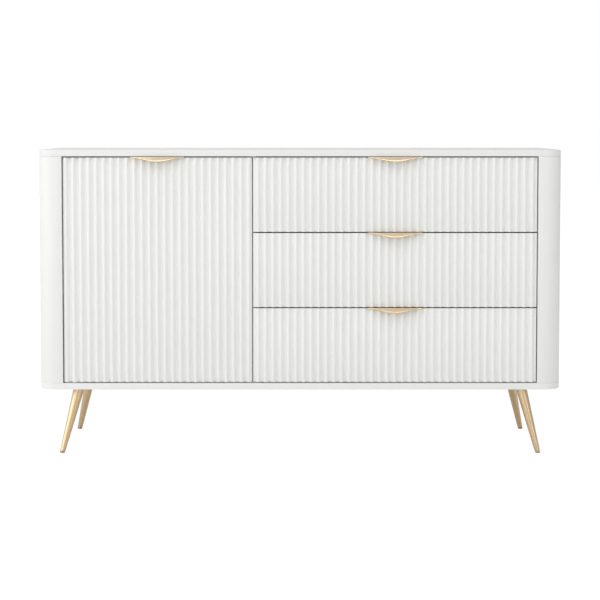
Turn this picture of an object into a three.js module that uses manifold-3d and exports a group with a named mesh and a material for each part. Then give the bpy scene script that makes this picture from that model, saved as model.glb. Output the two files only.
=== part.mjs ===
// Sideboard buffet: a low storage cabinet with one fluted door, three fluted drawers,
// rounded front corners, gold edge pulls and four splayed tapered metal legs.
// Millimetres, +Z up, +X to the right as seen from the front, the front faces -Y.
// Origin: centre of the bounding box on the floor.
import * as THREE from "three";
import { mergeVertices } from "three/addons/utils/BufferGeometryUtils.js";
import Module from "manifold-3d";

const wasm = await Module();
wasm.setup();

// ---------------------------------------------------------------- driving dimensions
const WIDTH = 1500; // cabinet width
const DEPTH = 400; // cabinet depth without the pulls
const HEIGHT = 875; // floor to top face
const LEG_HEIGHT = 188; // floor to underside of the body
const BOARD = 18; // carcass board thickness
const CORNER_R = 50; // radius of the rounded front corners
const STILE = 69.5; // width of a corner post seen from the front
const PULL_REACH = 14; // how far a pull stands in front of the fronts
const GAP = 3; // reveal round the door and the drawer fronts
const JOINT = 0.3; // gap between touching pieces

const FRONT_T = 22; // thickness of a fluted front, ridge to back
const FLUTE_PITCH = 21.76;
const FLUTE_DEPTH = 9;
const FLUTE_STEPS = 6; // facets per flute
const DOOR_RIDGE_X = -668.62; // first ridge of the door
const DRAWER_RIDGE_X = -120.18; // first ridge of the drawer fronts

const SPLIT_X = -136; // centre of the gap between door and drawers
const FRONT_COUNT = 3;

const LEG_TOP = { x: 642, y: 134 }; // leg axis at the underside of the body
const LEG_FOOT = { x: 687, y: 179 }; // leg axis at the floor
const LEG_R_TOP = 16.2;
const LEG_R_FOOT = 7.3;
const LEG_PLATE = 90;
const LEG_PLATE_T = 3;
const GLIDE_H = 6;

const PIVOT_BACK = 12; // door pivot behind the front plane
const PIN_R = 2.5;
const BORE_R = 2.75;
const BUSH_R = 5;

const PULL_W = 155;
const PULL_DROP = 11;
const PULL_T = 1.6;
const PULL_SEAT = 18;
const PULL_TIP = 2;

const BOX_T = 12; // drawer box board
const BOX_H = 140;
const BOX_LIFT = 22; // box underside above the front's lower edge
const BOX_LENGTH = 340;
const RUNNER_SPACE = 12.7;
const RUNNER_LENGTH = 340;

const SHELF_T = 16;
const SHELF_Z = 524;
const SHELF_PIN_ROWS = [-100, 150];
const SHELF_PIN_HEIGHTS = [421.3, 471.3, 521.3, 571.3, 621.3];

// ---------------------------------------------------------------- derived planes
const FRONT_Y = -(DEPTH + PULL_REACH) / 2; // foremost point: the pulls
const YF = FRONT_Y + PULL_REACH; // front plane of the cabinet
const YB = YF + DEPTH; // back plane
const YC = (YF + YB) / 2;
const X1 = WIDTH / 2;
const OPEN_X = X1 - STILE; // half width of the opening
const Z_FLOOR = LEG_HEIGHT + BOARD; // bottom of the opening
const Z_CEIL = HEIGHT - BOARD; // top of the opening
const FRONT_PITCH = (Z_CEIL - Z_FLOOR - GAP) / FRONT_COUNT;
const DOOR_X0 = -OPEN_X + GAP;
const DOOR_X1 = SPLIT_X - GAP / 2;
const DRAWER_X0 = SPLIT_X + GAP / 2;
const DRAWER_X1 = OPEN_X - GAP;
const DIVIDER_X0 = SPLIT_X - BOARD / 2;
const DIVIDER_X1 = SPLIT_X + BOARD / 2;
const BACK_Y0 = YB - 10.7; // front face of the back panel
const PIVOT_X = DOOR_RIDGE_X + FLUTE_PITCH;
const PIVOT_Y = YF + PIVOT_BACK;

// ---------------------------------------------------------------- finishes
const finish = {
  white: { color: 0xedecea, roughness: 0.45, metalness: 0 },
  inner: { color: 0xe6e4df, roughness: 0.6, metalness: 0 },
  gold: { color: 0xd0b084, roughness: 0.3, metalness: 1 },
  steel: { color: 0xb9bcc0, roughness: 0.4, metalness: 1 },
  nylon: { color: 0xd8d8d6, roughness: 0.5, metalness: 0 },
  dark: { color: 0x3a3a3c, roughness: 0.6, metalness: 0 },
};

const sideboard = new THREE.Group();
sideboard.name = "sideboard";

function put(name, geometry, look, parent = sideboard) {
  const mesh = new THREE.Mesh(
    geometry,
    new THREE.MeshStandardMaterial(finish[look]),
  );
  mesh.name = name;
  parent.add(mesh);
  return mesh;
}

function board(name, x, y, z, look, parent) {
  const mesh = put(
    name,
    new THREE.BoxGeometry(x[1] - x[0], y[1] - y[0], z[1] - z[0]),
    look,
    parent,
  );
  mesh.position.set((x[0] + x[1]) / 2, (y[0] + y[1]) / 2, (z[0] + z[1]) / 2);
  return mesh;
}

// A plan outline raised along +Z.
function raise(shape, z0, z1, curveSegments = 12) {
  return new THREE.ExtrudeGeometry(shape, {
    depth: z1 - z0,
    bevelEnabled: false,
    curveSegments,
  }).translate(0, 0, z0);
}

// An X-Z outline run along Y.
function run(shape, y0, y1, curveSegments = 12) {
  return new THREE.ExtrudeGeometry(shape, {
    depth: y1 - y0,
    bevelEnabled: false,
    curveSegments,
  })
    .rotateX(Math.PI / 2)
    .translate(0, y1, 0);
}

// ---------------------------------------------------------------- joining and cutting
function solid(geometry) {
  const g = geometry.clone();
  g.deleteAttribute("normal");
  g.deleteAttribute("uv");
  const merged = mergeVertices(g, 1e-4);
  return new wasm.Manifold(
    new wasm.Mesh({
      numProp: 3,
      vertProperties: new Float32Array(merged.attributes.position.array),
      triVerts: new Uint32Array(merged.index.array),
    }),
  );
}

function surface(manifold) {
  const m = manifold.getMesh();
  const g = new THREE.BufferGeometry();
  g.setAttribute("position", new THREE.BufferAttribute(m.vertProperties, 3));
  g.setIndex(new THREE.BufferAttribute(m.triVerts, 1));
  const flat = g.toNonIndexed();
  flat.computeVertexNormals();
  return flat;
}

function rod(radius, length, sides, axis, x, y, z) {
  // Starts at x, y, z and runs along +axis.
  const g = new THREE.CylinderGeometry(radius, radius, length, sides);
  if (axis === "z") g.rotateX(Math.PI / 2).translate(x, y, z + length / 2);
  if (axis === "x") g.rotateZ(-Math.PI / 2).translate(x + length / 2, y, z);
  return g;
}

// ---------------------------------------------------------------- carcass
const sheet = new THREE.Shape();
sheet.moveTo(-X1, YB);
sheet.lineTo(-X1, YF + CORNER_R);
sheet.absarc(-X1 + CORNER_R, YF + CORNER_R, CORNER_R, Math.PI, 1.5 * Math.PI, false);
sheet.lineTo(X1 - CORNER_R, YF);
sheet.absarc(X1 - CORNER_R, YF + CORNER_R, CORNER_R, 1.5 * Math.PI, 2 * Math.PI, false);
sheet.lineTo(X1, YB);
sheet.closePath();
put("top_panel", raise(sheet, Z_CEIL, HEIGHT), "white");
put("bottom_panel", raise(sheet, LEG_HEIGHT, Z_FLOOR), "white");

const wallZ = [Z_FLOOR + JOINT, Z_CEIL - JOINT];

const pinHoles = (x) =>
  SHELF_PIN_ROWS.flatMap((y) =>
    SHELF_PIN_HEIGHTS.map((z) => solid(rod(2.8, 10, 12, "x", x, y, z))),
  );

function drilled(name, x, y, z, holes) {
  let made = solid(
    new THREE.BoxGeometry(x[1] - x[0], y[1] - y[0], z[1] - z[0]).translate(
      (x[0] + x[1]) / 2,
      (y[0] + y[1]) / 2,
      (z[0] + z[1]) / 2,
    ),
  );
  for (const hole of holes) made = made.subtract(hole);
  put(name, surface(made), "white");
}

drilled(
  "left_side_panel",
  [-X1, -X1 + BOARD],
  [YF + CORNER_R + JOINT, YB],
  wallZ,
  pinHoles(-X1 + BOARD - 9),
);
drilled(
  "right_side_panel",
  [X1 - BOARD, X1],
  [YF + CORNER_R + JOINT, YB],
  wallZ,
  [],
);
drilled(
  "centre_divider",
  [DIVIDER_X0, DIVIDER_X1],
  [YF + FRONT_T + 2, BACK_Y0 - JOINT],
  wallZ,
  pinHoles(DIVIDER_X0 - 1),
);

for (const side of [-1, 1]) {
  const post = new THREE.Shape();
  if (side < 0) {
    post.moveTo(-OPEN_X, YF);
    post.lineTo(-OPEN_X, YF + CORNER_R);
    post.lineTo(-X1, YF + CORNER_R);
    post.absarc(-X1 + CORNER_R, YF + CORNER_R, CORNER_R, Math.PI, 1.5 * Math.PI, false);
  } else {
    post.moveTo(OPEN_X, YF + CORNER_R);
    post.lineTo(OPEN_X, YF);
    post.lineTo(X1 - CORNER_R, YF);
    post.absarc(X1 - CORNER_R, YF + CORNER_R, CORNER_R, 1.5 * Math.PI, 2 * Math.PI, false);
  }
  post.closePath();
  put(
    side < 0 ? "left_corner_post" : "right_corner_post",
    raise(post, wallZ[0], wallZ[1]),
    "white",
  );
}

// Inner wall on the drawer side, flush with the opening, that the runners screw to.
board(
  "runner_wall",
  [OPEN_X, OPEN_X + BOARD],
  [YF + CORNER_R + JOINT, BACK_Y0 - JOINT],
  wallZ,
  "inner",
);
board(
  "back_panel",
  [-X1 + BOARD + JOINT, X1 - BOARD - JOINT],
  [BACK_Y0, BACK_Y0 + 5],
  wallZ,
  "inner",
);

// ---------------------------------------------------------------- shelf
board(
  "shelf",
  [-X1 + BOARD + 2.2, DIVIDER_X0 - 2.2],
  [YF + 58, BACK_Y0 - 2],
  [SHELF_Z, SHELF_Z + SHELF_T],
  "white",
);
// A round pin with a collar, standing out of the wall it is pushed into; sign gives the way it points.
function shelfPin(name, wallX, y, sign) {
  const profile = [
    [0, -8],
    [2.5, -8],
    [2.5, 0.3],
    [4.5, 0.3],
    [4.5, 1.8],
    [2.5, 1.8],
    [2.5, 9],
    [0, 9],
  ].map(([r, h]) => new THREE.Vector2(r, h));
  const pin = put(name, new THREE.LatheGeometry(profile, 12), "steel");
  pin.rotation.z = -sign * (Math.PI / 2);
  pin.position.set(wallX, y, SHELF_Z - 2.7);
}
shelfPin("shelf_pin_front_left", -X1 + BOARD, SHELF_PIN_ROWS[0], 1);
shelfPin("shelf_pin_back_left", -X1 + BOARD, SHELF_PIN_ROWS[1], 1);
shelfPin("shelf_pin_front_right", DIVIDER_X0, SHELF_PIN_ROWS[0], -1);
shelfPin("shelf_pin_back_right", DIVIDER_X0, SHELF_PIN_ROWS[1], -1);

// ---------------------------------------------------------------- legs
function leg(name, sx, sy) {
  const top = new THREE.Vector3(sx * LEG_TOP.x, YC + sy * LEG_TOP.y, LEG_HEIGHT);
  const foot = new THREE.Vector3(sx * LEG_FOOT.x, YC + sy * LEG_FOOT.y, 0);
  const axis = top.clone().sub(foot);
  const length = axis.length();
  const over = 12; // extra length at both ends, cut off level
  const grow = (LEG_R_TOP - LEG_R_FOOT) / length;
  const cone = new THREE.LatheGeometry(
    [
      new THREE.Vector2(0, -over),
      new THREE.Vector2(LEG_R_FOOT - grow * over, -over),
      new THREE.Vector2(LEG_R_TOP + grow * over, length + over),
      new THREE.Vector2(0, length + over),
    ],
    24,
  );
  cone.applyQuaternion(
    new THREE.Quaternion().setFromUnitVectors(
      new THREE.Vector3(0, 1, 0),
      axis.clone().normalize(),
    ),
  );
  cone.translate(foot.x, foot.y, foot.z);
  const zTop = LEG_HEIGHT - JOINT;
  const slab = new THREE.BoxGeometry(300, 300, zTop - GLIDE_H).translate(
    (top.x + foot.x) / 2,
    (top.y + foot.y) / 2,
    (zTop + GLIDE_H) / 2,
  );
  const half = LEG_PLATE / 2;
  const r = 10;
  const plate = new THREE.Shape();
  plate.moveTo(-half + r, -half);
  plate.lineTo(half - r, -half);
  plate.absarc(half - r, -half + r, r, -Math.PI / 2, 0, false);
  plate.lineTo(half, half - r);
  plate.absarc(half - r, half - r, r, 0, Math.PI / 2, false);
  plate.lineTo(-half + r, half);
  plate.absarc(-half + r, half - r, r, Math.PI / 2, Math.PI, false);
  plate.lineTo(-half, -half + r);
  plate.absarc(-half + r, -half + r, r, Math.PI, 1.5 * Math.PI, false);
  const plateSolid = solid(
    raise(plate, zTop - LEG_PLATE_T, zTop, 4).translate(top.x - sx * 6, top.y - sy * 6, 0),
  );
  put(name + "_leg", surface(solid(cone).intersect(solid(slab)).add(plateSolid)), "gold");

  const glide = new THREE.LatheGeometry(
    [
      new THREE.Vector2(0, 0),
      new THREE.Vector2(6.2, 0),
      new THREE.Vector2(7.2, 1),
      new THREE.Vector2(7.2, GLIDE_H - JOINT),
      new THREE.Vector2(0, GLIDE_H - JOINT),
    ],
    24,
  ).rotateX(Math.PI / 2);
  const middle = foot.clone().lerp(top, GLIDE_H / 2 / LEG_HEIGHT);
  put(name + "_glide", glide, "nylon").position.set(middle.x, middle.y, 0);
}
leg("front_left", -1, -1);
leg("front_right", 1, -1);
leg("back_left", -1, 1);
leg("back_right", 1, 1);

// ---------------------------------------------------------------- fluted fronts
function flutedOutline(x0, x1, ridgeX) {
  const step = FLUTE_PITCH / FLUTE_STEPS;
  const depthAt = (x) =>
    FLUTE_DEPTH * (0.5 - 0.5 * Math.cos((2 * Math.PI * (x - ridgeX)) / FLUTE_PITCH));
  const points = [
    new THREE.Vector2(x0, YF + FRONT_T),
    new THREE.Vector2(x0, YF + depthAt(x0)),
  ];
  for (let i = Math.ceil((x0 + 1 - ridgeX) / step); ridgeX + i * step < x1 - 1; i++) {
    const x = ridgeX + i * step;
    points.push(new THREE.Vector2(x, YF + depthAt(x)));
  }
  points.push(new THREE.Vector2(x1, YF + depthAt(x1)));
  points.push(new THREE.Vector2(x1, YF + FRONT_T));
  return new THREE.Shape(points);
}

// ---------------------------------------------------------------- edge pull
// A flange lying on the front's upper edge and a bowed lip that hangs in front of it,
// its lower edge a shallow smile with thin tips.
function pull(name, cx, zTop, parent) {
  const half = PULL_W / 2;
  const rise = PULL_REACH - PULL_TIP;
  const R = (half * half + rise * rise) / (2 * rise);
  const cy = YF - PULL_REACH + R;
  const z0 = zTop + JOINT;
  const z1 = z0 + PULL_T;
  const bow = (radius, from, to) =>
    Array.from({ length: 17 }, (_, i) => {
      const x = from + ((to - from) * i) / 16;
      return new THREE.Vector2(cx + x, cy - Math.sqrt(radius * radius - x * x));
    });
  const flange = new THREE.Shape([
    new THREE.Vector2(cx + half, YF + PULL_SEAT),
    new THREE.Vector2(cx - half, YF + PULL_SEAT),
    ...bow(R, -half, half),
  ]);
  const lipPlan = new THREE.Shape([
    ...bow(R, -half, half),
    ...bow(R - PULL_T, half, -half),
  ]);
  const smile = [];
  const n = 24;
  for (let i = 0; i <= n; i++) {
    const x = -half - 1 + ((PULL_W + 2) * i) / n;
    const t = Math.min(1, Math.abs(x) / half);
    smile.push(
      new THREE.Vector2(cx + x, zTop - 0.2 - (PULL_DROP - 0.2) * Math.cos((Math.PI / 2) * t) ** 2),
    );
  }
  const outline = new THREE.Shape([
    ...smile,
    new THREE.Vector2(cx + half + 1, z1 + 5),
    new THREE.Vector2(cx - half - 1, z1 + 5),
  ]);
  const lip = solid(raise(lipPlan, zTop - PULL_DROP - 4, z1)).intersect(
    solid(run(outline, YF - PULL_REACH - 10, YF + 10)),
  );
  put(name, surface(solid(raise(flange, z0, z1)).add(lip)), "gold", parent);
}

// ---------------------------------------------------------------- door
const door = new THREE.Group();
sideboard.add(door);
const doorZ = [Z_FLOOR + GAP, Z_CEIL - GAP];
let doorSolid = solid(raise(flutedOutline(DOOR_X0, DOOR_X1, DOOR_RIDGE_X), doorZ[0], doorZ[1]));
doorSolid = doorSolid.subtract(
  solid(rod(BUSH_R + JOINT, 24, 20, "z", PIVOT_X, PIVOT_Y, doorZ[1] - 14)),
);
doorSolid = doorSolid.subtract(
  solid(rod(BUSH_R + JOINT, 24, 20, "z", PIVOT_X, PIVOT_Y, doorZ[0] - 10)),
);
put("door_panel", surface(doorSolid), "white", door);
pull("door_pull", (DOOR_X0 + DOOR_X1) / 2, doorZ[1], door);

function ring(points, sides = 20) {
  const closed = [...points, points[0]].map(([r, h]) => new THREE.Vector2(r, h));
  return new THREE.LatheGeometry(closed, sides).rotateX(Math.PI / 2);
}
// Lathe profiles run anticlockwise round their section so that the faces point out.
put(
  "upper_hinge_bush",
  ring([
    [BORE_R, 0],
    [BUSH_R, 0],
    [BUSH_R, 13.7],
    [BORE_R, 13.7],
  ]),
  "nylon",
  door,
).position.set(PIVOT_X, PIVOT_Y, doorZ[1] - 13.7);
put(
  "lower_hinge_bush",
  ring([
    [BORE_R, 0],
    [7.5, 0],
    [7.5, 1],
    [BUSH_R, 1],
    [BUSH_R, 14.7],
    [BORE_R, 14.7],
  ]),
  "nylon",
  door,
).position.set(PIVOT_X, PIVOT_Y, doorZ[0] - 1.2);

function hingePin(name, plateZ, pinZ, pinLength) {
  const plate = new THREE.BoxGeometry(44, 18, 1.2).translate(PIVOT_X, PIVOT_Y, plateZ + 0.6);
  put(
    name,
    surface(solid(plate).add(solid(rod(PIN_R, pinLength, 20, "z", PIVOT_X, PIVOT_Y, pinZ)))),
    "steel",
  );
}
hingePin("upper_hinge_pin", Z_CEIL - JOINT - 1.2, Z_CEIL - 14.5, 13.5);
hingePin("lower_hinge_pin", Z_FLOOR + JOINT, Z_FLOOR + 1, 13.5);

// Magnetic catch under the top panel and its strike plate on the door.
board(
  "door_catch",
  [DOOR_X1 - 62, DOOR_X1 - 17],
  [YF + FRONT_T + 2.2, YF + FRONT_T + 15],
  [Z_CEIL - 14.3, Z_CEIL - JOINT],
  "dark",
);
board(
  "strike_plate",
  [DOOR_X1 - 56, DOOR_X1 - 23],
  [YF + FRONT_T + JOINT, YF + FRONT_T + 1.5],
  [Z_CEIL - 15.5, Z_CEIL - 4],
  "steel",
  door,
);

// ---------------------------------------------------------------- drawers
const channel = (side, wallX, points) =>
  new THREE.Shape(
    (side < 0 ? points : [...points].reverse()).map(
      ([u, w]) => new THREE.Vector2(wallX - side * u, w),
    ),
  );
// Sections of the runner members: distance from the cabinet wall, height from the runner's centre.
const CABINET_MEMBER = [
  [0.3, -17.5],
  [10.8, -17.5],
  [10.8, -13.5],
  [9.6, -13.5],
  [9.6, -16.3],
  [1.5, -16.3],
  [1.5, 16.3],
  [9.6, 16.3],
  [9.6, 13.5],
  [10.8, 13.5],
  [10.8, 17.5],
  [0.3, 17.5],
];
const DRAWER_MEMBER = [
  [4.2, -11],
  [12.4, -11],
  [12.4, 11],
  [4.2, 11],
  [4.2, 9.8],
  [11.2, 9.8],
  [11.2, -9.8],
  [4.2, -9.8],
];

const drawerNames = ["bottom_drawer", "middle_drawer", "top_drawer"];
const boxX0 = DIVIDER_X1 + RUNNER_SPACE;
const boxX1 = OPEN_X - RUNNER_SPACE;
const boxY0 = YF + FRONT_T + JOINT;
drawerNames.forEach((name, i) => {
  const drawer = new THREE.Group();
  sideboard.add(drawer);
  const z0 = Z_FLOOR + GAP + i * FRONT_PITCH;
  const z1 = z0 + FRONT_PITCH - GAP;
  put(
    name + "_front",
    raise(flutedOutline(DRAWER_X0, DRAWER_X1, DRAWER_RIDGE_X), z0, z1),
    "white",
    drawer,
  );
  pull(name + "_pull", (DRAWER_X0 + DRAWER_X1) / 2, z1, drawer);

  const bz = z0 + BOX_LIFT;
  board(name + "_side_left", [boxX0, boxX0 + BOX_T], [boxY0, boxY0 + BOX_LENGTH], [bz, bz + BOX_H], "inner", drawer);
  board(name + "_side_right", [boxX1 - BOX_T, boxX1], [boxY0, boxY0 + BOX_LENGTH], [bz, bz + BOX_H], "inner", drawer);
  const inX = [boxX0 + BOX_T + JOINT, boxX1 - BOX_T - JOINT];
  board(name + "_back", inX, [boxY0 + BOX_LENGTH - BOX_T, boxY0 + BOX_LENGTH], [bz, bz + BOX_H], "inner", drawer);
  board(name + "_bottom", inX, [boxY0, boxY0 + BOX_LENGTH - BOX_T - JOINT], [bz + 8, bz + 13], "inner", drawer);

  const rz = bz + BOX_H / 2;
  const runY = [boxY0, boxY0 + RUNNER_LENGTH];
  for (const side of [-1, 1]) {
    const wallX = side < 0 ? DIVIDER_X1 : OPEN_X;
    const word = side < 0 ? "left" : "right";
    put(
      name + "_cabinet_runner_" + word,
      run(channel(side, wallX, CABINET_MEMBER), runY[0] + 4, runY[1] + 4).translate(0, 0, rz),
      "steel",
    );
    put(
      name + "_box_runner_" + word,
      run(channel(side, wallX, DRAWER_MEMBER), runY[0], runY[1]).translate(0, 0, rz),
      "steel",
      drawer,
    );
  }
});

export default sideboard;
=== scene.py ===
# Sideboard buffet: the looks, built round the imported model. Metres, +Z up, the front faces -Y.
import math
import random

import bmesh
import bpy
import numpy as np
from mathutils import Matrix, Vector

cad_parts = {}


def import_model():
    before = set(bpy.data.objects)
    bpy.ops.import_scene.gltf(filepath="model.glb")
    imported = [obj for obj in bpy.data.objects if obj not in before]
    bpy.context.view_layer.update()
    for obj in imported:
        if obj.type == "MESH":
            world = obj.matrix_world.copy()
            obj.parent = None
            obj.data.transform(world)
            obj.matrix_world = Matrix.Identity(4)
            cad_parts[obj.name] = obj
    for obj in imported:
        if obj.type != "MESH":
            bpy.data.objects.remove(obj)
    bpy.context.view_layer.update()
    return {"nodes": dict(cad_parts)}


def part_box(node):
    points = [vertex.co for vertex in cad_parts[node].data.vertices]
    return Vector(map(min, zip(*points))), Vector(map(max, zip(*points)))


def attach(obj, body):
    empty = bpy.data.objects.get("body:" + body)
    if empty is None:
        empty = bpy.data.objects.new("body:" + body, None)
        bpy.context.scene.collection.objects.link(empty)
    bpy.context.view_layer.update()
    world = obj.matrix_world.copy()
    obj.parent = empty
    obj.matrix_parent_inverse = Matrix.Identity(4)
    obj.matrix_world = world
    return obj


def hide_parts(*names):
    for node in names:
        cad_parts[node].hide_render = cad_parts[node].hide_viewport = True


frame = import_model()
random.seed(7)
MM = 0.001
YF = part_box("top_panel")[0].y  # front plane of the cabinet
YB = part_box("top_panel")[1].y
PITCH = 21.76 * MM
FLUTE_D = 9.0 * MM
DOOR_RIDGE_X = -0.66862
DRAWER_RIDGE_X = -0.12018
PIVOT = Vector((DOOR_RIDGE_X + PITCH, YF + 0.012, 0))
DRAWERS = ("bottom_drawer", "middle_drawer", "top_drawer")
UP = Vector((0, 0, 1))


# ------------------------------------------------------------------ camera
def camera():
    data = bpy.data.cameras.new("view")
    cam = bpy.data.objects.new("view", data)
    bpy.context.scene.collection.objects.link(cam)
    data.sensor_width = 36.0
    data.lens = 93.24
    data.shift_y = -0.16
    data.clip_start, data.clip_end = 0.05, 60
    cam.location = (-0.0002, -4.619, 0.951)
    cam.rotation_euler = (math.radians(90 - 2.973), 0, 0)
    bpy.context.scene.camera = cam


camera()


# ------------------------------------------------------------------ materials
class Graph:
    """A material's node tree with short calls."""

    def __init__(self, name):
        self.mat = bpy.data.materials.new(name)
        self.mat.use_nodes = True
        self.t = self.mat.node_tree
        self.bsdf = self.t.nodes["Principled BSDF"]
        self.tc = self.t.nodes.new("ShaderNodeTexCoord")

    def node(self, kind, **values):
        n = self.t.nodes.new(kind)
        for k, v in values.items():
            setattr(n, k, v)
        return n

    def link(self, a, b):
        self.t.links.new(a, b)

    def mapped(self, scale=(1, 1, 1)):
        m = self.node("ShaderNodeMapping")
        m.inputs["Scale"].default_value = scale
        self.link(self.tc.outputs["Object"], m.inputs["Vector"])
        return m.outputs["Vector"]

    def noise(self, scale, detail=3.0, rough=0.5, stretch=(1, 1, 1), distortion=0.0):
        n = self.node("ShaderNodeTexNoise")
        n.inputs["Scale"].default_value = scale
        n.inputs["Detail"].default_value = detail
        n.inputs["Roughness"].default_value = rough
        n.inputs["Distortion"].default_value = distortion
        self.link(self.mapped(stretch), n.inputs["Vector"])
        return n.outputs["Fac"]

    def ramp(self, fac, stops):
        r = self.node("ShaderNodeValToRGB")
        e = r.color_ramp.elements
        while len(e) < len(stops):
            e.new(0.5)
        for el, (pos, col) in zip(e, stops):
            el.position = pos
            el.color = (*col, 1) if len(col) == 3 else col
        self.link(fac, r.inputs["Fac"])
        return r.outputs["Color"]

    def span(self, fac, low, high, a=0.0, b=1.0):
        m = self.node("ShaderNodeMapRange")
        for k, v in zip(("From Min", "From Max", "To Min", "To Max"), (a, b, low, high)):
            m.inputs[k].default_value = v
        self.link(fac, m.inputs["Value"])
        return m.outputs["Result"]

    def math(self, op, a, b):
        m = self.node("ShaderNodeMath", operation=op)
        for i, v in enumerate((a, b)):
            if isinstance(v, (int, float)):
                m.inputs[i].default_value = v
            else:
                self.link(v, m.inputs[i])
        return m.outputs["Value"]

    def mix(self, fac, a, b, blend="MIX"):
        m = self.node("ShaderNodeMix", data_type="RGBA", blend_type=blend)
        for sock, v in ((m.inputs["Factor"], fac), (m.inputs["A"], a), (m.inputs["B"], b)):
            if isinstance(v, (int, float)):
                sock.default_value = v
            elif isinstance(v, tuple):
                sock.default_value = (*v, 1) if len(v) == 3 else v
            else:
                self.link(v, sock)
        return m.outputs["Result"]

    def bump(self, height, strength, distance):
        b = self.node("ShaderNodeBump")
        b.inputs["Strength"].default_value = strength
        b.inputs["Distance"].default_value = distance
        self.link(height, b.inputs["Height"])
        self.link(b.outputs["Normal"], self.bsdf.inputs["Normal"])
        return b

    def set(self, **values):
        for k, v in values.items():
            sock = self.bsdf.inputs[k.replace("_", " ")]
            if isinstance(v, (int, float, tuple)):
                sock.default_value = (*v, 1) if isinstance(v, tuple) and len(v) == 3 else v
            else:
                self.link(v, sock)
        return self


def wear_and_edge_highlight(g, base, edge, amount=0.5):
    """base with the tone edge where the mesh's edges were rounded, broken up by a fine noise; the lighter edge is
    partly wear and partly a painted highlight.
    """
    at = g.node("ShaderNodeAttribute", attribute_name="edge")
    patch = g.span(g.noise(140.0, 3, 0.6), 0.35, 1.0, 0.35, 0.6)
    # painted highlight: the rounded edges are mixed towards a lighter tone, partly wear and partly a painted highlight
    return g.mix(g.math("MULTIPLY", g.math("MULTIPLY", at.outputs["Fac"], patch), amount), base, edge)


def lacquer(name, tone, rough, peel=0.005, edge=None):
    """Sprayed satin lacquer: faint cloudiness, orange peel and a lighter edge that is partly wear and partly a painted
    highlight.
    """
    g = Graph(name)
    cloud = g.noise(3.0, 4, 0.55)
    fine = g.noise(60.0, 3, 0.6)
    low = tuple(c * 0.993 for c in tone)
    base = g.mix(g.span(cloud, 0, 1, 0.3, 0.7), low, tone)
    base = g.mix(g.span(fine, 0, 0.25, 0.45, 0.75), base, tuple(c * 0.988 for c in tone))
    # edges 2% lighter: partly wear, partly a painted highlight along the edges
    base = wear_and_edge_highlight(g, base, edge or tuple(min(1, c * 1.02) for c in tone), 0.6)
    g.set(Base_Color=base, Metallic=0.0, IOR=1.48)
    g.set(Roughness=g.span(g.noise(9.0, 3, 0.5), rough - 0.02, rough + 0.03, 0.3, 0.7))
    peel_h = g.math("ADD", g.noise(900.0, 2, 0.5), g.math("MULTIPLY", g.noise(220.0, 2, 0.5), 0.8))
    g.bump(peel_h, peel, 0.0004)
    return g.mat


def melamine(name, tone, rough):
    """Paper-faced board: a fine pearl grain pressed into a matt face."""
    g = Graph(name)
    pearl = g.noise(1500.0, 2, 0.6)
    cloud = g.noise(5.0, 3, 0.5)
    base = g.mix(g.span(cloud, 0, 1, 0.3, 0.7), tuple(c * 0.98 for c in tone), tone)
    base = g.mix(g.span(pearl, 0, 0.18, 0.5, 0.8), base, tuple(c * 0.95 for c in tone))
    # edges 3% lighter: partly wear, partly a painted highlight along the edges
    base = wear_and_edge_highlight(g, base, tuple(min(1, c * 1.03) for c in tone), 0.5)
    g.set(Base_Color=base, Metallic=0.0, IOR=1.47)
    g.set(Roughness=g.span(pearl, rough - 0.05, rough + 0.07, 0.3, 0.7))
    g.bump(pearl, 0.12, 0.0003)
    return g.mat


def hardboard(name, tone):
    g = Graph(name)
    fibre = g.noise(260.0, 5, 0.7, (1, 1, 0.6), 0.6)
    cloud = g.noise(6.0, 3, 0.5)
    base = g.mix(g.span(fibre, 0, 1, 0.35, 0.65), tuple(c * 0.955 for c in tone), tone)
    base = g.mix(g.span(cloud, 0, 0.5, 0.35, 0.7), base, tuple(c * 0.975 for c in tone))
    g.set(Base_Color=base, Metallic=0.0)
    g.set(Roughness=g.span(fibre, 0.55, 0.72, 0.3, 0.7))
    g.bump(fibre, 0.15, 0.0004)
    return g.mat


def brushed(name, light, dark, rough, stretch, aniso=0.0, streak=0.35, bump=0.05, coat=0.6):
    """Metal with fine streaks that run along one axis."""
    g = Graph(name)
    fine = g.noise(900.0, 4, 0.65, stretch)
    broad = g.noise(40.0, 3, 0.5, (1, 1, 0.35))
    base = g.mix(g.span(fine, 0, streak, 0.3, 0.75), light, dark)
    base = g.mix(g.span(broad, 0, 0.3, 0.35, 0.75), base, tuple(c * 0.94 for c in light))
    # edges 10% lighter: partly rubbed metal, partly a painted highlight along the edges
    base = wear_and_edge_highlight(g, base, tuple(min(1, c * 1.1) for c in light), 0.5)
    g.set(Base_Color=base, Metallic=1.0, Anisotropic=aniso, Coat_Weight=coat, Coat_Roughness=0.16, Coat_IOR=1.5)
    g.set(Roughness=g.span(fine, rough - 0.05, rough + 0.08, 0.3, 0.75))
    g.bump(fine, bump, 0.0002)
    return g.mat


def plated(name, tone, rough, mottle=0.06):
    g = Graph(name)
    spangle = g.node("ShaderNodeTexVoronoi")
    spangle.inputs["Scale"].default_value = 260.0
    g.link(g.mapped(), spangle.inputs["Vector"])
    fac = g.math("MULTIPLY", spangle.outputs["Distance"], 1.4)
    base = g.mix(fac, tone, tuple(c * (1 - mottle * 2) for c in tone))
    base = g.mix(g.span(g.noise(30.0, 4, 0.6), 0, 0.5, 0.4, 0.7), base, tuple(c * 0.9 for c in tone))
    # edges 15% lighter: partly rubbed plating, partly a painted highlight along the edges
    base = wear_and_edge_highlight(g, base, tuple(min(1, c * 1.15) for c in tone), 0.6)
    g.set(Base_Color=base, Metallic=1.0)
    g.set(Roughness=g.span(g.noise(120.0, 3, 0.6), rough - 0.06, rough + 0.08, 0.3, 0.7))
    g.bump(g.noise(700.0, 2, 0.5), 0.05, 0.0002)
    return g.mat


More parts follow.
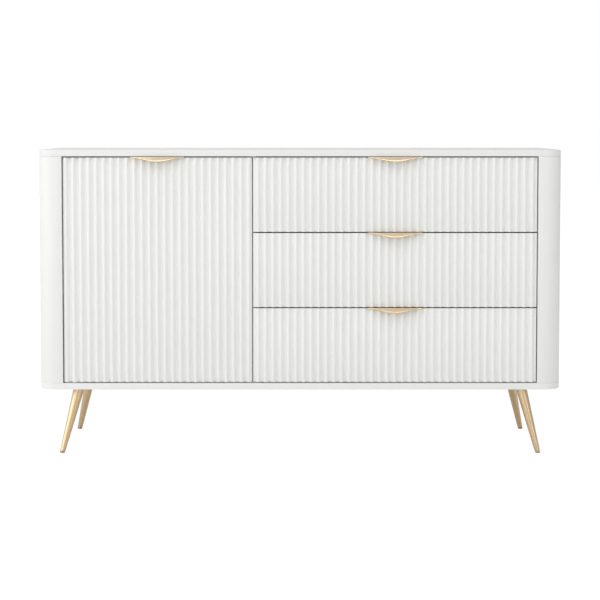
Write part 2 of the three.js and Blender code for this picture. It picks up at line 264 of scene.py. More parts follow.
def moulded(name, tone, rough, coat=0.0):
    g = Graph(name)
    grain = g.noise(1800.0, 2, 0.5)
    base = g.mix(g.span(g.noise(90.0, 3, 0.5), 0, 1, 0.3, 0.7), tuple(c * 0.94 for c in tone), tone)
    # edges 10% lighter: partly wear, partly a painted highlight along the edges
    base = wear_and_edge_highlight(g, base, tuple(min(1, c * 1.1) for c in tone), 0.5)
    g.set(Base_Color=base, Metallic=0.0)
    g.set(Roughness=g.span(grain, rough - 0.05, rough + 0.08, 0.3, 0.7))
    g.bump(grain, 0.1, 0.0002)
    return g.mat


WHITE = (0.868, 0.871, 0.851)
M = {
    "carcass": lacquer("white_lacquer", WHITE, 0.40),
    "flutes": lacquer("fluted_lacquer", (0.898, 0.901, 0.881), 0.42),
    "inner": melamine("white_melamine", (0.80, 0.795, 0.78), 0.5),
    "box": melamine("drawer_melamine", (0.78, 0.775, 0.76), 0.55),
    "hard": hardboard("painted_hardboard", (0.76, 0.75, 0.725)),
    "pull": brushed("champagne_pull", (0.82, 0.64, 0.43), (0.74, 0.57, 0.37), 0.22, (0.06, 1, 1), 0.0, 0.25, 0.02),
    "leg": brushed("champagne_leg", (0.74, 0.545, 0.325), (0.68, 0.495, 0.29), 0.26, (1, 1, 0.05), 0.0, 0.25, 0.008),
    "zinc": plated("zinc_plate", (0.66, 0.67, 0.69), 0.36),
    "nickel": plated("nickel_plate", (0.72, 0.71, 0.69), 0.22, 0.03),
    "nylon": moulded("milky_nylon", (0.72, 0.715, 0.70), 0.42),
    "burnished": plated("burnished_steel", (0.075, 0.075, 0.08), 0.4),
    "glide": moulded("tan_nylon", (0.44, 0.385, 0.315), 0.42),
    "dark": moulded("dark_plastic", (0.045, 0.045, 0.05), 0.5),
}


# ------------------------------------------------------------------ mesh building
def mesh_of(name, verts, faces):
    me = bpy.data.meshes.new(name)
    me.from_pydata([tuple(map(float, v)) for v in verts], [], [tuple(map(int, f)) for f in faces])
    return me


def finish_mesh(me, weld=1e-7):
    """Welds, turns every face outwards and marks the faces that belong to a curve."""
    bm = bmesh.new()
    bm.from_mesh(me)
    bmesh.ops.remove_doubles(bm, verts=bm.verts, dist=weld)
    bmesh.ops.recalc_face_normals(bm, faces=bm.faces)
    bm.normal_update()
    curved = bm.faces.layers.int.new("curved")
    for e in bm.edges:
        if len(e.link_faces) == 2:
            a = math.degrees(e.calc_face_angle(0))
            if 0.05 < a < 32:
                for f in e.link_faces:
                    if f.calc_area() < 0.004:
                        f[curved] = 1
    bm.to_mesh(me)
    bm.free()


def place(me, name, mat, body, replaces=()):
    me.name = name
    me.materials.clear()
    me.materials.append(mat)
    ob = bpy.data.objects.new(name, me)
    bpy.context.scene.collection.objects.link(ob)
    if body:
        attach(ob, body)
    if replaces:
        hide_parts(*replaces)
    return ob


def rounded(me, width, segments=3, angle=35.0):
    """The mesh with its sharp edges rounded. Flats stay flat, and the corner attribute "edge" is 1 on what was rounded."""
    me.materials.clear()
    for _ in range(2):
        me.materials.append(None)
    ob = bpy.data.objects.new("work", me)
    bpy.context.scene.collection.objects.link(ob)
    b = ob.modifiers.new("round", "BEVEL")
    b.width = width
    b.segments = segments
    b.limit_method = "ANGLE"
    b.angle_limit = math.radians(angle)
    b.use_clamp_overlap = True
    b.material = 1
    b.miter_outer = "MITER_SHARP"
    out = bpy.data.meshes.new_from_object(ob.evaluated_get(bpy.context.evaluated_depsgraph_get()))
    bpy.data.objects.remove(ob)
    n = len(out.polygons)
    idx = np.zeros(n, dtype=np.int32)
    out.polygons.foreach_get("material_index", idx)
    curved = np.zeros(n, dtype=np.int32)
    if "curved" in out.attributes:
        out.attributes["curved"].data.foreach_get("value", curved)
        out.attributes.remove(out.attributes["curved"])
    out.polygons.foreach_set("use_smooth", ((idx == 1) | (curved == 1)).tolist())
    loops = np.zeros(n, dtype=np.int32)
    out.polygons.foreach_get("loop_total", loops)
    edge = out.attributes.new("edge", "FLOAT", "CORNER")
    edge.data.foreach_set("value", np.repeat((idx == 1).astype(np.float32), loops))
    out.polygons.foreach_set("material_index", np.zeros(n, dtype=np.int32))
    out.set_sharp_from_angle(angle=math.radians(50))
    out.update()
    return out


def shade(me, sharp=40.0):
    me.polygons.foreach_set("use_smooth", [True] * len(me.polygons))
    me.set_sharp_from_angle(angle=math.radians(sharp))
    return me


def solid(name, verts, faces, mat, body, replaces=(), width=0.5 * MM, segments=3, angle=35.0):
    me = mesh_of(name, verts, faces)
    finish_mesh(me)
    return place(rounded(me, width, segments, angle), name, mat, body, replaces)


def smooth_solid(name, verts, faces, mat, body, replaces=(), sharp=40.0):
    me = mesh_of(name, verts, faces)
    finish_mesh(me)
    if "curved" in me.attributes:
        me.attributes.remove(me.attributes["curved"])
    return place(shade(me, sharp), name, mat, body, replaces)


class Parts:
    """Several closed shapes gathered in one mesh."""

    def __init__(self):
        self.v, self.f = [], []

    def add(self, verts, faces, move=None):
        k = len(self.v)
        self.v += [tuple(move @ Vector(v)) if move else tuple(v) for v in verts]
        self.f += [tuple(i + k for i in f) for f in faces]
        return self


def facing(at, normal, turn=0.0):
    """The matrix that puts a shape made along +Z at a point, looking along normal."""
    q = Vector((0, 0, 1)).rotation_difference(Vector(normal))
    return Matrix.Translation(Vector(at)) @ q.to_matrix().to_4x4() @ Matrix.Rotation(turn, 4, "Z")


def slab(lo, hi):
    lo, hi = Vector(lo), Vector(hi)
    v = [(x, y, z) for x in (lo.x, hi.x) for y in (lo.y, hi.y) for z in (lo.z, hi.z)]
    f = [(0, 1, 3, 2), (4, 6, 7, 5), (0, 4, 5, 1), (2, 3, 7, 6), (0, 2, 6, 4), (1, 5, 7, 3)]
    return v, f


def prism(outline, z0, z1):
    """A closed plan outline raised from z0 to z1."""
    n = len(outline)
    v = [(x, y, z) for z in (z0, z1) for x, y in outline]
    f = [(i, (i + 1) % n, n + (i + 1) % n, n + i) for i in range(n)]
    f += [tuple(range(n - 1, -1, -1)), tuple(range(n, 2 * n))]
    return v, f


def arc(cx, cy, r, a0, a1, n):
    return [
        (cx + r * math.cos(a0 + (a1 - a0) * i / n), cy + r * math.sin(a0 + (a1 - a0) * i / n))
        for i in range(n + 1)
    ]


def lathe(profile, sides=32):
    """A closed turned shape about +Z. The profile runs from axis to axis."""
    v, f = [], []
    rings = []
    for r, z in profile:
        if r < 1e-9:
            rings.append([len(v)])
            v.append((0, 0, z))
        else:
            rings.append(list(range(len(v), len(v) + sides)))
            v += [(r * math.cos(2 * math.pi * i / sides), r * math.sin(2 * math.pi * i / sides), z) for i in range(sides)]
    for a, b in zip(rings, rings[1:]):
        for i in range(sides):
            j = (i + 1) % sides
            if len(a) == 1:
                f.append((a[0], b[i], b[j]))
            elif len(b) == 1:
                f.append((a[i], b[0], a[j]))
            else:
                f.append((a[i], b[i], b[j], a[j]))
    return v, f


def screw_head(r, h, sunk=False):
    """A cross-recessed head, its seat at z 0."""
    arm, half = 0.52 * r, 0.15 * r
    alpha = math.atan2(half, arm)
    mid = (alpha + math.pi / 4) / 2
    angles, plus = [], []
    for q in range(4):
        for a in (-alpha, 0, alpha, mid, math.pi / 4, math.pi / 2 - mid):
            angles.append(q * math.pi / 2 + a)
            t = abs(a)
            if t <= alpha + 1e-9:
                plus.append(arm / math.cos(a))
            elif t <= math.pi / 4 + 1e-9:
                plus.append(half / math.sin(t))
            else:
                plus.append(half / math.cos(t))
    if sunk:
        prof = [(0.99, -0.25), (1.0, 0.0), (0.96, 0.22), (0.80, 0.34)]
    else:
        prof = [(0.98, 0.0), (1.0, 0.18), (0.97, 0.48), (0.87, 0.76), (0.72, 0.95)]
    rings = [[(k * r, z * h)] * 24 for k, z in prof]
    top = prof[-1][1] * h
    rings.append([(p * 1.06, top + 0.03 * h) for p in plus])
    rings.append([(p, top - 0.05 * h) for p in plus])
    rings.append([(p * 0.72, top - 0.62 * h) for p in plus])
    v, f = [], []
    for ring in rings:
        for (rr, z), a in zip(ring, angles):
            v.append((rr * math.cos(a), rr * math.sin(a), z))
    for k in range(len(rings) - 1):
        for i in range(24):
            j = (i + 1) % 24
            f.append((k * 24 + i, k * 24 + j, (k + 1) * 24 + j, (k + 1) * 24 + i))
    v.append((0, 0, top - 0.75 * h))
    last = (len(rings) - 1) * 24
    f += [(last + i, last + (i + 1) % 24, len(v) - 1) for i in range(24)]
    f.append(tuple(range(23, -1, -1)))
    return v, f


def screws(name, spots, mat, body, r=3.4 * MM, h=1.9 * MM, sunk=False):
    """spots are (point, direction the head looks along)."""
    p = Parts()
    for i, (at, normal) in enumerate(spots):
        p.add(*screw_head(r, h, sunk), facing(at, normal, 0.4 + 1.3 * ((i * 7) % 5)))
    return smooth_solid(name, p.v, p.f, mat, body, (), 38)


def board(node, mat, body, width=0.8 * MM):
    """A board with eased edges in a CAD board's place."""
    lo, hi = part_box(node)
    v, f = slab(lo, hi)
    return solid(node + "_skin", v, f, mat, body, [node], width)


def eased(node, mat, body, width):
    """A CAD node's own solid with its edges eased."""
    me = frame["nodes"][node].data.copy()
    finish_mesh(me, 1e-6)
    return place(rounded(me, width, 2, 40), node + "_skin", mat, body, [node])


# ------------------------------------------------------------------ carcass
R = 50 * MM


def sheet_outline(x1, yf, yb, r=R, n=28):
    return (
        [(-x1, yb)]
        + arc(-x1 + r, yf + r, r, math.pi, 1.5 * math.pi, n)
        + arc(x1 - r, yf + r, r, 1.5 * math.pi, 2 * math.pi, n)
        + [(x1, yb)]
    )


def mark_edges(ob, z0, z1, r):
    """The corner attribute "edge" is 1 on the faces that turn over the lower and the upper edge."""
    me = ob.data
    edge = me.attributes.new("edge", "FLOAT", "CORNER")
    for p in me.polygons:
        if abs(p.normal.z) < 0.995:
            zs = [me.vertices[i].co.z for i in p.vertices]
            if max(zs) < z0 + r or min(zs) > z1 - r:
                for k in p.loop_indices:
                    edge.data[k].value = 1.0
    return ob


def sheet(node, under, over):
    """A top or bottom board: rounded front corners, and edges rounded by the radii under and over."""
    lo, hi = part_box(node)
    rings = []
    for k in range(5):
        a = math.pi / 2 * k / 4
        rings.append((under * (1 - math.sin(a)), lo.z + under * (1 - math.cos(a))))
    for k in range(4, -1, -1):
        a = math.pi / 2 * k / 4
        rings.append((over * (1 - math.sin(a)), hi.z - over * (1 - math.cos(a))))
    verts, faces = [], []
    for o, z in rings:
        line = sheet_outline(hi.x - o, lo.y + o, hi.y - o, R - o)
        verts += [(x, y, z) for x, y in line]
    n = len(line)
    for k in range(len(rings) - 1):
        for i in range(n):
            j = (i + 1) % n
            faces.append((k * n + i, k * n + j, (k + 1) * n + j, (k + 1) * n + i))
    faces.append(tuple(range(n - 1, -1, -1)))
    faces.append(tuple(range(len(rings) * n - n, len(rings) * n)))
    ob = smooth_solid(node + "_skin", verts, faces, M["carcass"], "carcass", [node], 30)
    return mark_edges(ob, lo.z, hi.z, 1.05 * max(under, over))


def carcass():
    sheet("top_panel", 0.4 * MM, 1.5 * MM)
    sheet("bottom_panel", 0.8 * MM, 0.4 * MM)
    for node, side in (("left_corner_post", -1), ("right_corner_post", 1)):
        lo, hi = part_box(node)
        if side < 0:
            outline = [(hi.x, lo.y), (hi.x, hi.y), (lo.x, hi.y)] + arc(
                lo.x + R, lo.y + R, R, math.pi, 1.5 * math.pi, 28
            )
        else:
            outline = [(lo.x, hi.y), (lo.x, lo.y)] + arc(
                hi.x - R, lo.y + R, R, 1.5 * math.pi, 2 * math.pi, 28
            )
        v, f = prism(outline, lo.z, hi.z)
        solid(node + "_skin", v, f, M["carcass"], "carcass", [node], 0.3 * MM)
    board("right_side_panel", M["carcass"], "carcass", 0.4 * MM)
    board("runner_wall", M["inner"], "carcass", 0.5 * MM)
    board("shelf", M["inner"], "carcass", 0.9 * MM)
    board("back_panel", M["hard"], "carcass", 0.5 * MM)
    for node in ("left_side_panel", "centre_divider"):
        eased(node, M["carcass"], "carcass", 0.35 * MM)


carcass()


def back_details():
    lo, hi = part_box("back_panel")
    y = hi.y
    spots = []
    for i in range(9):
        x = lo.x + 0.012 + (hi.x - lo.x - 0.024) * i / 8
        spots += [((x, y, lo.z + 9 * MM), (0, 1, 0)), ((x, y, hi.z - 9 * MM), (0, 1, 0))]
    for i in range(1, 5):
        z = lo.z + 0.012 + (hi.z - lo.z - 0.024) * i / 5
        spots += [((lo.x + 9 * MM, y, z), (0, 1, 0)), ((hi.x - 9 * MM, y, z), (0, 1, 0))]
    dx = (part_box("centre_divider")[0].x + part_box("centre_divider")[1].x) / 2
    spots += [((dx, y, lo.z + (hi.z - lo.z) * k / 5), (0, 1, 0)) for k in range(1, 5)]
    screws("back_panel_screws", spots, M["zinc"], "carcass", 3.2 * MM, 1.6 * MM)


back_details()


# ------------------------------------------------------------------ fluted fronts
def fluted(node, body, ridge, per=18):
    lo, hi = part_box(node)
    lo.z, hi.z = lo.z + 0.15 * MM, hi.z - 0.45 * MM
    x0, x1, yf, yb = lo.x, hi.x, YF, hi.y
    step = PITCH / per

    def surf(x):
        t = math.cos(2 * math.pi * (x - ridge) / PITCH)
        return yf + FLUTE_D * (0.5 - 0.5 * t)

    r = 0.5 * MM
    xs = [x0 + r]
    k = math.ceil((x0 + r + 0.3 * step - ridge) / step)
    while ridge + k * step < x1 - r - 0.3 * step:
        xs.append(ridge + k * step)
        k += 1
    xs.append(x1 - r)
    front = [(x0, surf(x0 + r) + r), (x0 + 0.3 * r, surf(x0 + r) + 0.3 * r)]
    front += [(x, surf(x)) for x in xs]
    front += [(x1 - 0.3 * r, surf(x1 - r) + 0.3 * r), (x1, surf(x1 - r) + r)]
    back = [(x0, yb - r), (x0 + 0.3 * r, yb - 0.3 * r)]
    back += [(x, yb) for x in xs]
    back += [(x1 - 0.3 * r, yb - 0.3 * r), (x1, yb - r)]
    n = len(front)
    loop = np.array(front + back[::-1])
    nxt, prv = np.roll(loop, -1, 0), np.roll(loop, 1, 0)
    d1, d0 = nxt - loop, loop - prv
    d1 /= np.linalg.norm(d1, axis=1)[:, None]
    d0 /= np.linalg.norm(d0, axis=1)[:, None]
    t = d0 + d1
    t /= np.linalg.norm(t, axis=1)[:, None]
    inward = np.stack([-t[:, 1], t[:, 0]], 1)
    edge = 0.4 * MM
    rings = []
    steps = 3
    for i in range(steps + 1):
        a = math.pi / 2 * i / steps
        rings.append((edge * (1 - math.sin(a)), lo.z + edge * (1 - math.cos(a))))
    rings += [(o, hi.z - (z - lo.z)) for o, z in rings[::-1]]
    verts, faces = [], []
    m = len(loop)
    for o, z in rings:
        p = loop + inward * o
        verts += [(a, b, z) for a, b in p]
    for k in range(len(rings) - 1):
        for i in range(m):
            j = (i + 1) % m
            faces.append((k * m + i, k * m + j, (k + 1) * m + j, (k + 1) * m + i))
    for base in (0, (len(rings) - 1) * m):
        for i in range(n - 1):
            faces.append((base + i, base + i + 1, base + m - 2 - i, base + m - 1 - i))
    ob = smooth_solid(node + "_skin", verts, faces, M["flutes"], body, [node], 50)
    return mark_edges(ob, lo.z, hi.z, 1.05 * edge)


fluted("door_panel", "door", DOOR_RIDGE_X)
for d in DRAWERS:
    fluted(d + "_front", d, DRAWER_RIDGE_X)


# ------------------------------------------------------------------ pulls
def pull(node, body, top):
    """A bent sheet: a flange let over the front's upper edge and a lip bowed in plan, cut to a crescent."""
    lo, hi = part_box(node)
    cx, half = (lo.x + hi.x) / 2, (hi.x - lo.x) / 2
    reach, tip, drop, t = 14 * MM, 2 * MM, 11 * MM, 1.4 * MM
    rise = reach - tip
    big = (half * half + rise * rise) / (2 * rise)
    cols = 84
    zt = top + 0.15 * MM + t
    rings = []
    for i in range(cols + 1):
        s = -math.cos(math.pi * i / cols)
        x = half * s
        bow = YF - reach + big - math.sqrt(big * big - x * x)
        share = math.cos(math.pi / 2 * s) ** 2
        fall = drop * share + 0.2 * MM
        back = 3.2 * MM * share  # the lip's upper end stands this far behind its lower edge
        rb = 1.9 * MM - 0.5 * MM * (1 - share)
        path = [(YF + 18 * MM, zt), (YF + 12 * MM, zt), (YF + 6 * MM, zt), (bow + back + rb + 0.5 * MM, zt)]
        tilt = math.atan2(0.35 * back, max(fall, 1 * MM))
        for k in range(0, 7):
            a = (math.pi / 2 - tilt) * k / 6
            path.append((bow + back + rb * (1 - math.sin(a)), zt - rb * (1 - math.cos(a))))
        (ya, za), yb_, zb = path[-1], bow, top - fall
        if za - zb < 0.6 * MM:
            zb = za - 0.6 * MM
        for k in range(1, 13):
            u = k / 12
            path.append((ya + (yb_ - ya) * (0.10 * u + 0.90 * u ** 2.8), za + (zb - za) * u))
        p = np.array(path)
        d = np.gradient(p, axis=0)
        d /= np.linalg.norm(d, axis=1)[:, None] + 1e-12
        nrm = np.stack([d[:, 1], -d[:, 0]], 1)  # turned to the sheet's outer face: up on the flange, forward on the lip
        if nrm[0][1] < 0:
            nrm = -nrm
        inner = p - nrm * t
        end = (p[-1] + inner[-1]) / 2
        tail = d[-1] * t * 0.42
        ring = [tuple(q) for q in p]
        ring.append(tuple(end + (p[-1] - end) * 0.6 + tail * 0.8))
        ring.append(tuple(end + tail))
        ring.append(tuple(end + (inner[-1] - end) * 0.6 + tail * 0.8))
        ring += [tuple(q) for q in inner[::-1]]
        rings.append([(cx + x, y, z) for y, z in ring])
    n = len(rings[0])
    verts = [q for ring in rings for q in ring]
    faces = []
    for i in range(cols):
        for k in range(n):
            j = (k + 1) % n
            faces.append((i * n + k, i * n + j, (i + 1) * n + j, (i + 1) * n + k))
    faces.append(tuple(range(n)))
    faces.append(tuple(range(cols * n, cols * n + n)))
    solid(node + "_skin", verts, faces, M["pull"], body, [node], 0.25 * MM, 2, 55)
    spots = [((cx + k * 46 * MM, YF + 11.5 * MM, zt - 0.1 * MM), (0, 0, 1)) for k in (-1, 1)]
    screws(node + "_screws", spots, M["nickel"], body, 2.9 * MM, 0.9 * MM, True)


pull("door_pull", "door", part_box("door_panel")[1].z)
for d in DRAWERS:
    pull(d + "_pull", d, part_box(d + "_front")[1].z)


# ------------------------------------------------------------------ legs
def leg(name, sx, sy):
    yc = (YF + YB) / 2
    foot = Vector((sx * 0.687, yc + sy * 0.179, 0))
    top = Vector((sx * 0.642, yc + sy * 0.134, 0.188))
    u = (top - foot).normalized()
    length = (top - foot).length
    r0, g = 7.3 * MM, (16.2 - 7.3) * MM / length
    side = u.cross(UP).normalized()
    other = u.cross(side).normalized()
    sides = 72
    z_low, z_high = 6.0 * MM, 184.7 * MM
    # (height share, radius added)
    levels = [(0.0, -0.9), (0.0012, -0.45), (0.0035, -0.12), (0.008, 0.0), (0.02, 0), (0.06, 0), (0.15, 0), (0.3, 0)]
    levels += [(0.45, 0), (0.6, 0), (0.75, 0), (0.88, 0), (0.955, 0), (0.972, 0.12), (0.984, 0.5), (0.993, 1.2), (1.0, 2.3)]
    verts, faces = [], []
    for share, extra in levels:
        z = z_low + (z_high - z_low) * share
        for i in range(sides):
            a = 2 * math.pi * i / sides
            n = side * math.cos(a) + other * math.sin(a)
            t = (z - foot.z - r0 * n.z) / (u.z + g * n.z)
            ripple = 0.25 * MM * math.sin(23 * a) if extra > 1 else 0
            verts.append(foot + u * t + n * (r0 + g * t + extra * MM + ripple))
    for k in range(len(levels) - 1):
        for i in range(sides):
            j = (i + 1) % sides
            faces.append((k * sides + i, k * sides + j, (k + 1) * sides + j, (k + 1) * sides + i))
    faces.append(tuple(range(sides)))
    faces.append(tuple(range((len(levels) - 1) * sides, len(levels) * sides)))
    smooth_solid(name + "_leg_skin", verts, faces, M["leg"], "carcass", [name + "_leg"], 40)
    cx, cy, h, r = top.x - sx * 6 * MM, top.y - sy * 6 * MM, 45 * MM, 10 * MM
    outline = (
        arc(cx + h - r, cy - h + r, r, -math.pi / 2, 0, 8)
        + arc(cx + h - r, cy + h - r, r, 0, math.pi / 2, 8)
        + arc(cx - h + r, cy + h - r, r, math.pi / 2, math.pi, 8)
        + arc(cx - h + r, cy - h + r, r, math.pi, 1.5 * math.pi, 8)
    )
    v, f = prism(outline, 184.7 * MM, 187.7 * MM)
    solid(name + "_leg_plate", v, f, M["leg"], "carcass", (), 0.7 * MM)
    q = 34 * MM
    spots = [((cx + a * q, cy + b * q, 184.7 * MM), (0, 0, -1)) for a in (-1, 1) for b in (-1, 1)]
    screws(name + "_leg_screws", spots, M["nickel"], "carcass", 4.2 * MM, 2.3 * MM)
    lo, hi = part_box(name + "_glide")
    c = (lo + hi) / 2
    prof = [(0, 0), (5.2, 0), (6.2, 0.3), (6.9, 1.1), (7.2, 2.3), (7.2, 4.4), (6.8, 5.4), (6.0, 5.7), (0, 5.7)]
    v, f = lathe([(a * MM, b * MM) for a, b in prof], 48)
    v = [(x + c.x, y + c.y, z) for x, y, z in v]
    smooth_solid(name + "_glide_skin", v, f, M["glide"], "carcass", [name + "_glide"], 40)


for nm, sx, sy in (("front_left", -1, -1), ("front_right", 1, -1), ("back_left", -1, 1), ("back_right", 1, 1)):
    leg(nm, sx, sy)


# ------------------------------------------------------------------ drawer boxes
def drawer_box(d):
    for part in ("_side_left", "_side_right", "_back"):
        board(d + part, M["box"], d, 1.0 * MM)
    board(d + "_bottom", M["hard"], d, 0.3 * MM)
    f_lo, f_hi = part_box(d + "_front")
    spots = []
    caps = Parts()
    for side, look in (("_side_left", 1), ("_side_right", -1)):
        lo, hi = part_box(d + side)
        x = hi.x if look > 0 else lo.x
        for z in (lo.z + 32 * MM, hi.z - 28 * MM):
            prof = [(0, -0.2), (8.4, -0.2), (8.6, 0.1), (8.5, 0.55), (7.9, 0.9), (6.5, 1.05), (6.2, 0.85), (0, 0.85)]
            caps.add(*lathe([(a * MM, b * MM) for a, b in prof], 32), facing((x, lo.y + 34 * MM, z), (look, 0, 0)))
        x = lo.x if look > 0 else hi.x
        for z in (lo.z + 25 * MM, hi.z - 25 * MM):
            spots.append(((x, hi.y - 6 * MM, z), (-look, 0, 0)))
    smooth_solid(d + "_cam_caps", caps.v, caps.f, M["nylon"], d, (), 35)
    screws(d + "_back_screws", spots, M["zinc"], d, 3.2 * MM, 0.6 * MM, True)


for d in DRAWERS:
    drawer_box(d)


# ------------------------------------------------------------------ runners
def rolled(path, t, r=0.9 * MM, n=4):
    """The closed outline of a sheet t thick that follows a path with its bends rounded."""
    pts = []
    for i, p in enumerate(path):
        p = np.array(p)
        if 0 < i < len(path) - 1:
            a, b = np.array(path[i - 1]) - p, np.array(path[i + 1]) - p
            la, lb = np.linalg.norm(a), np.linalg.norm(b)
            a, b = a / la, b / lb
            k = min(r + t / 2, 0.45 * la, 0.45 * lb)
            for j in range(n + 1):
                u = j / n
                pts.append((1 - u) ** 2 * (p + a * k) + 2 * u * (1 - u) * p + u * u * (p + b * k))
        else:
            pts.append(p)
    pts = np.array(pts)
    d = np.gradient(pts, axis=0)
    d /= np.linalg.norm(d, axis=1)[:, None]
    nrm = np.stack([-d[:, 1], d[:, 0]], 1) * t / 2
    return [tuple(q) for q in pts + nrm] + [tuple(q) for q in (pts - nrm)[::-1]]


def channel(outline, y0, y1, place_xz):
    """An outline in (out from the wall, height) run along Y."""
    v = []
    for y in (y0, y1):
        for o, h in outline:
            x, z = place_xz(o, h)
            v.append((x, y, z))
    n = len(outline)
    f = [(i, (i + 1) % n, n + (i + 1) % n, n + i) for i in range(n)]
    f += [tuple(range(n - 1, -1, -1)), tuple(range(n, 2 * n))]
    return v, f


def runner(d, side):
    """Both members of a telescopic runner, with the ball cage between them."""
    cab, box = f"{d}_cabinet_runner_{side}", f"{d}_box_runner_{side}"
    clo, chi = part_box(cab)
    blo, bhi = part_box(box)
    zc = (clo.z + chi.z) / 2
    out = 1 if side == "left" else -1
    wall = clo.x - 0.3 * MM if side == "left" else chi.x + 0.3 * MM

    def at(o, h):
        return wall + out * o, zc + h

    t = 1.1 * MM
    w0, w1, hh = 0.3 * MM + t / 2, 10.8 * MM - t / 2, 17.5 * MM - t / 2
    path = [(w1, hh - 2.6 * MM), (w1, hh), (w0 + 3.4 * MM, hh), (w0, hh - 3.4 * MM), (w0, -hh + 3.4 * MM)]
    path += [(w0 + 3.4 * MM, -hh), (w1, -hh), (w1, -hh + 2.6 * MM)]
    v, f = channel(rolled(path, t), clo.y, chi.y, at)
    solid(cab + "_skin", v, f, M["zinc"], "carcass", [cab], 0.15 * MM, 1, 50)
    v0, v1, bh = 4.2 * MM + t / 2, 12.4 * MM - t / 2, 11.0 * MM - t / 2
    path = [(v0, bh - 1.8 * MM), (v0, bh), (v1 - 2.2 * MM, bh), (v1, bh - 2.2 * MM), (v1, -bh + 2.2 * MM)]
    path += [(v1 - 2.2 * MM, -bh), (v0, -bh), (v0, -bh + 1.8 * MM)]
    v, f = channel(rolled(path, t), blo.y, bhi.y, at)
    solid(box + "_skin", v, f, M["zinc"], d, [box], 0.15 * MM, 1, 50)
    heads = [((wall + out * (0.3 * MM + t), clo.y + s, zc), (out, 0, 0)) for s in (0.037, 0.165, 0.293)]
    screws(cab + "_screws", heads, M["nickel"], "carcass", 3.0 * MM, 1.3 * MM)
    heads = [((wall + out * (12.4 * MM - t), blo.y + s, zc), (-out, 0, 0)) for s in (0.028, 0.156, 0.310)]
    screws(box + "_screws", heads, M["nickel"], d, 3.0 * MM, 1.3 * MM)
    # ball cage at the rear of the cabinet member
    p = Parts()
    y0, y1 = chi.y - 0.118, chi.y - 0.012
    for s in (-1, 1):
        strip = [(5.4 * MM, s * 12.6 * MM), (9.4 * MM, s * 12.6 * MM), (9.4 * MM, s * 13.3 * MM), (5.4 * MM, s * 13.3 * MM)]
        p.add(*channel(strip, y0, y1, at))
        ball = [(0, -1)] + [(math.sin(a), -math.cos(a)) for a in np.linspace(0.35, math.pi - 0.35, 7)] + [(0, 1)]
        for k in range(8):
            x, z = at(7.4 * MM, s * 13.6 * MM)
            v, f = lathe([(r * 2.1 * MM, q * 2.1 * MM) for r, q in ball], 14)
            p.add(v, f, Matrix.Translation(Vector((x, y0 + (y1 - y0) * (k + 0.5) / 8, z))))
    smooth_solid(f"{d}_ball_cage_{side}", p.v, p.f, M["nickel"], "carcass", (), 40)


for d in DRAWERS:
    for side in ("left", "right"):
        runner(d, side)


# ------------------------------------------------------------------ hinge pins, bushes, catch, shelf pins
def small_parts():
    for node in ("upper_hinge_pin", "lower_hinge_pin"):
        steel = M["burnished"] if node.startswith("upper") else M["nickel"]
        eased(node, steel, "carcass", 0.25 * MM)
        lo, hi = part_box(node)
        up = node.startswith("upper")
        z = hi.z - 1.2 * MM if up else lo.z + 1.2 * MM
        spots = [((PIVOT.x + k * 15 * MM, PIVOT.y, z), (0, 0, -1 if up else 1)) for k in (-1, 1)]
        screws(node + "_screws", spots, steel, "carcass", 2.9 * MM, 0.8 * MM, True)
    for node in ("upper_hinge_bush", "lower_hinge_bush"):
        eased(node, M["nylon"], "door", 0.25 * MM)
    eased("door_catch", M["dark"], "carcass", 0.6 * MM)
    eased("strike_plate", M["nickel"], "door", 0.25 * MM)
    lo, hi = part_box("strike_plate")
    spots = [(((lo.x + hi.x) / 2 + k * 11 * MM, hi.y, (lo.z + hi.z) / 2), (0, 1, 0)) for k in (-1, 1)]
    screws("strike_plate_screws", spots, M["nickel"], "door", 2.2 * MM, 0.6 * MM, True)
    for node in [n for n in frame["nodes"] if n.startswith("shelf_pin")]:
        eased(node, M["nickel"], "carcass", 0.3 * MM)
    # soft stops on the divider's front edge
    lo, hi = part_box("centre_divider")
    p = Parts()
    dome = [(0, 0), (4.0, 0), (4.2, 0.3), (3.8, 0.8), (2.6, 1.2), (1.2, 1.38), (0, 1.42)]
    for z in (0.262, 0.800):
        v, f = lathe([(a * MM, b * MM) for a, b in dome], 28)
        p.add(v, f, facing((lo.x + 5.2 * MM, lo.y, z), (0, -1, 0)))
    smooth_solid("door_stop_pads", p.v, p.f, M["nylon"], "carcass", (), 50)


small_parts()


# ------------------------------------------------------------------ stage and light
def seen_directly(t):
    return t.nodes.new("ShaderNodeLightPath").outputs["Is Camera Ray"]


def stage():
    """A pale floor without an edge: white to the eye with a faint contact shadow, mid-grey to the reflections."""
    me = bpy.data.meshes.new("floor")
    me.from_pydata([(-14, -9, 0), (14, -9, 0), (14, 16, 0), (-14, 16, 0)], [], [(0, 1, 2, 3)])
    floor = bpy.data.objects.new("floor", me)
    bpy.context.scene.collection.objects.link(floor)
    mat = bpy.data.materials.new("pale_floor")
    mat.use_nodes = True
    t = mat.node_tree
    t.nodes.clear()
    out = t.nodes.new("ShaderNodeOutputMaterial")
    mix = t.nodes.new("ShaderNodeMixShader")
    grey = t.nodes.new("ShaderNodeBsdfDiffuse")
    grey.inputs["Color"].default_value = (FLOOR_TONE, FLOOR_TONE, FLOOR_TONE, 1)
    glow = t.nodes.new("ShaderNodeEmission")
    glow.inputs["Strength"].default_value = FLOOR_WHITE
    hint = t.nodes.new("ShaderNodeBsdfDiffuse")
    hint.inputs["Color"].default_value = (FLOOR_HINT, FLOOR_HINT, FLOOR_HINT, 1)
    both = t.nodes.new("ShaderNodeAddShader")
    t.links.new(glow.outputs[0], both.inputs[0])
    t.links.new(hint.outputs[0], both.inputs[1])
    t.links.new(seen_directly(t), mix.inputs[0])
    t.links.new(grey.outputs[0], mix.inputs[1])
    t.links.new(both.outputs[0], mix.inputs[2])
    t.links.new(mix.outputs[0], out.inputs["Surface"])
    me.materials.append(mat)


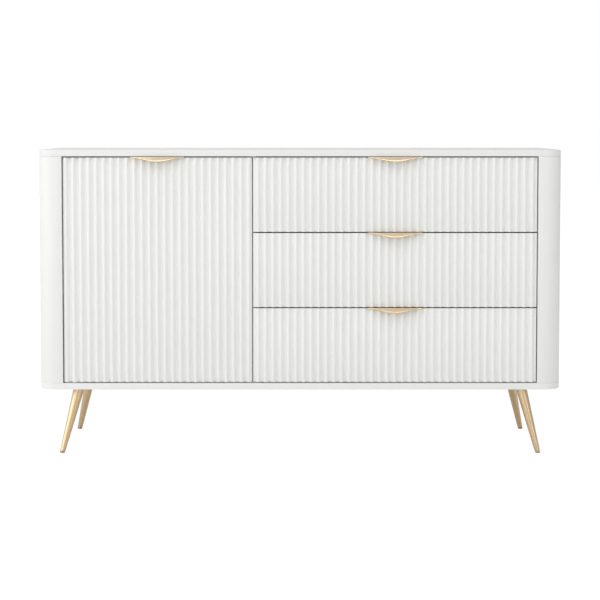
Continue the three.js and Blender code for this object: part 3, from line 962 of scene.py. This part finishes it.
FLOOR_TONE, FLOOR_WHITE, FLOOR_HINT = 0.86, 0.93, 0.14
stage()


def world():
    """A studio that is a little brighter from some sides, white where the camera sees it."""
    w = bpy.data.worlds.new("studio")
    bpy.context.scene.world = w
    w.use_nodes = True
    t = w.node_tree
    t.nodes.clear()
    tc = t.nodes.new("ShaderNodeTexCoord")
    total = None
    for direction, power, strength in WORLD:
        dot = t.nodes.new("ShaderNodeVectorMath")
        dot.operation = "DOT_PRODUCT"
        dot.inputs[1].default_value = direction
        t.links.new(tc.outputs["Generated"], dot.inputs[0])
        half = t.nodes.new("ShaderNodeMath")
        half.operation = "MULTIPLY_ADD"
        half.inputs[1].default_value = 0.5
        half.inputs[2].default_value = 0.5
        t.links.new(dot.outputs["Value"], half.inputs[0])
        lobe = t.nodes.new("ShaderNodeMath")
        lobe.operation = "POWER"
        lobe.inputs[1].default_value = power
        t.links.new(half.outputs[0], lobe.inputs[0])
        part = t.nodes.new("ShaderNodeMath")
        part.operation = "MULTIPLY_ADD"
        part.inputs[1].default_value = strength
        t.links.new(lobe.outputs[0], part.inputs[0])
        if total:
            t.links.new(total, part.inputs[2])
        else:
            part.inputs[2].default_value = AMBIENT
        total = part.outputs[0]
    glow = t.nodes.new("ShaderNodeBackground")
    glow.inputs["Color"].default_value = (1, 1, 1, 1)
    t.links.new(total, glow.inputs["Strength"])
    white = t.nodes.new("ShaderNodeBackground")
    white.inputs["Color"].default_value = (1, 1, 1, 1)
    white.inputs["Strength"].default_value = 1.0
    mix = t.nodes.new("ShaderNodeMixShader")
    out = t.nodes.new("ShaderNodeOutputWorld")
    t.links.new(seen_directly(t), mix.inputs[0])
    t.links.new(glow.outputs[0], mix.inputs[1])
    t.links.new(white.outputs[0], mix.inputs[2])
    t.links.new(mix.outputs[0], out.inputs["Surface"])


# (direction it comes from, how narrow it is, strength)
AMBIENT = 0.285
WORLD = (
    ((-1, 0, 0), 1, 0.53),
    ((0, -1, 0), 1, 0.50),
    ((0, -1, -0.1), 6, -0.285),
)
world()


def area(name, loc, target, size, power, size_y=None):
    data = bpy.data.lights.new(name, "AREA")
    data.energy = power
    data.shape = "RECTANGLE"
    data.size = size
    data.size_y = size_y or size
    ob = bpy.data.objects.new(name, data)
    ob.location = loc
    ob.rotation_mode = "QUATERNION"
    ob.rotation_quaternion = (Vector(target) - Vector(loc)).to_track_quat("-Z", "Y")
    ob.visible_camera = False
    bpy.context.scene.collection.objects.link(ob)
    return ob


area("side_box", (-2.9, -1.2, 0.9), (-0.3, 0, 0.5), 1.2, 5.8, 1.4)
area("left_box", (-2.1, -2.6, 1.0), (-0.3, 0, 0.5), 2.6, 7.2, 1.6)
area("right_box", (2.6, -3.4, 1.0), (0.1, 0, 0.5), 0.35, 6.0, 2.0)
area("high_box", (-0.4, 0.8, 3.6), (0, 0, 0.875), 3.4, 5.4, 1.6)
area("edge_strip", (-0.2, -1.7, 3.2), (0, -0.2, 0.8), 3.4, 8.6, 0.4)

bpy.context.scene.view_settings.view_transform = "Standard"
bpy.context.scene.view_settings.look = "None"
bpy.context.scene.view_settings.exposure = 0.0
bpy.context.scene.view_settings.gamma = 1.0
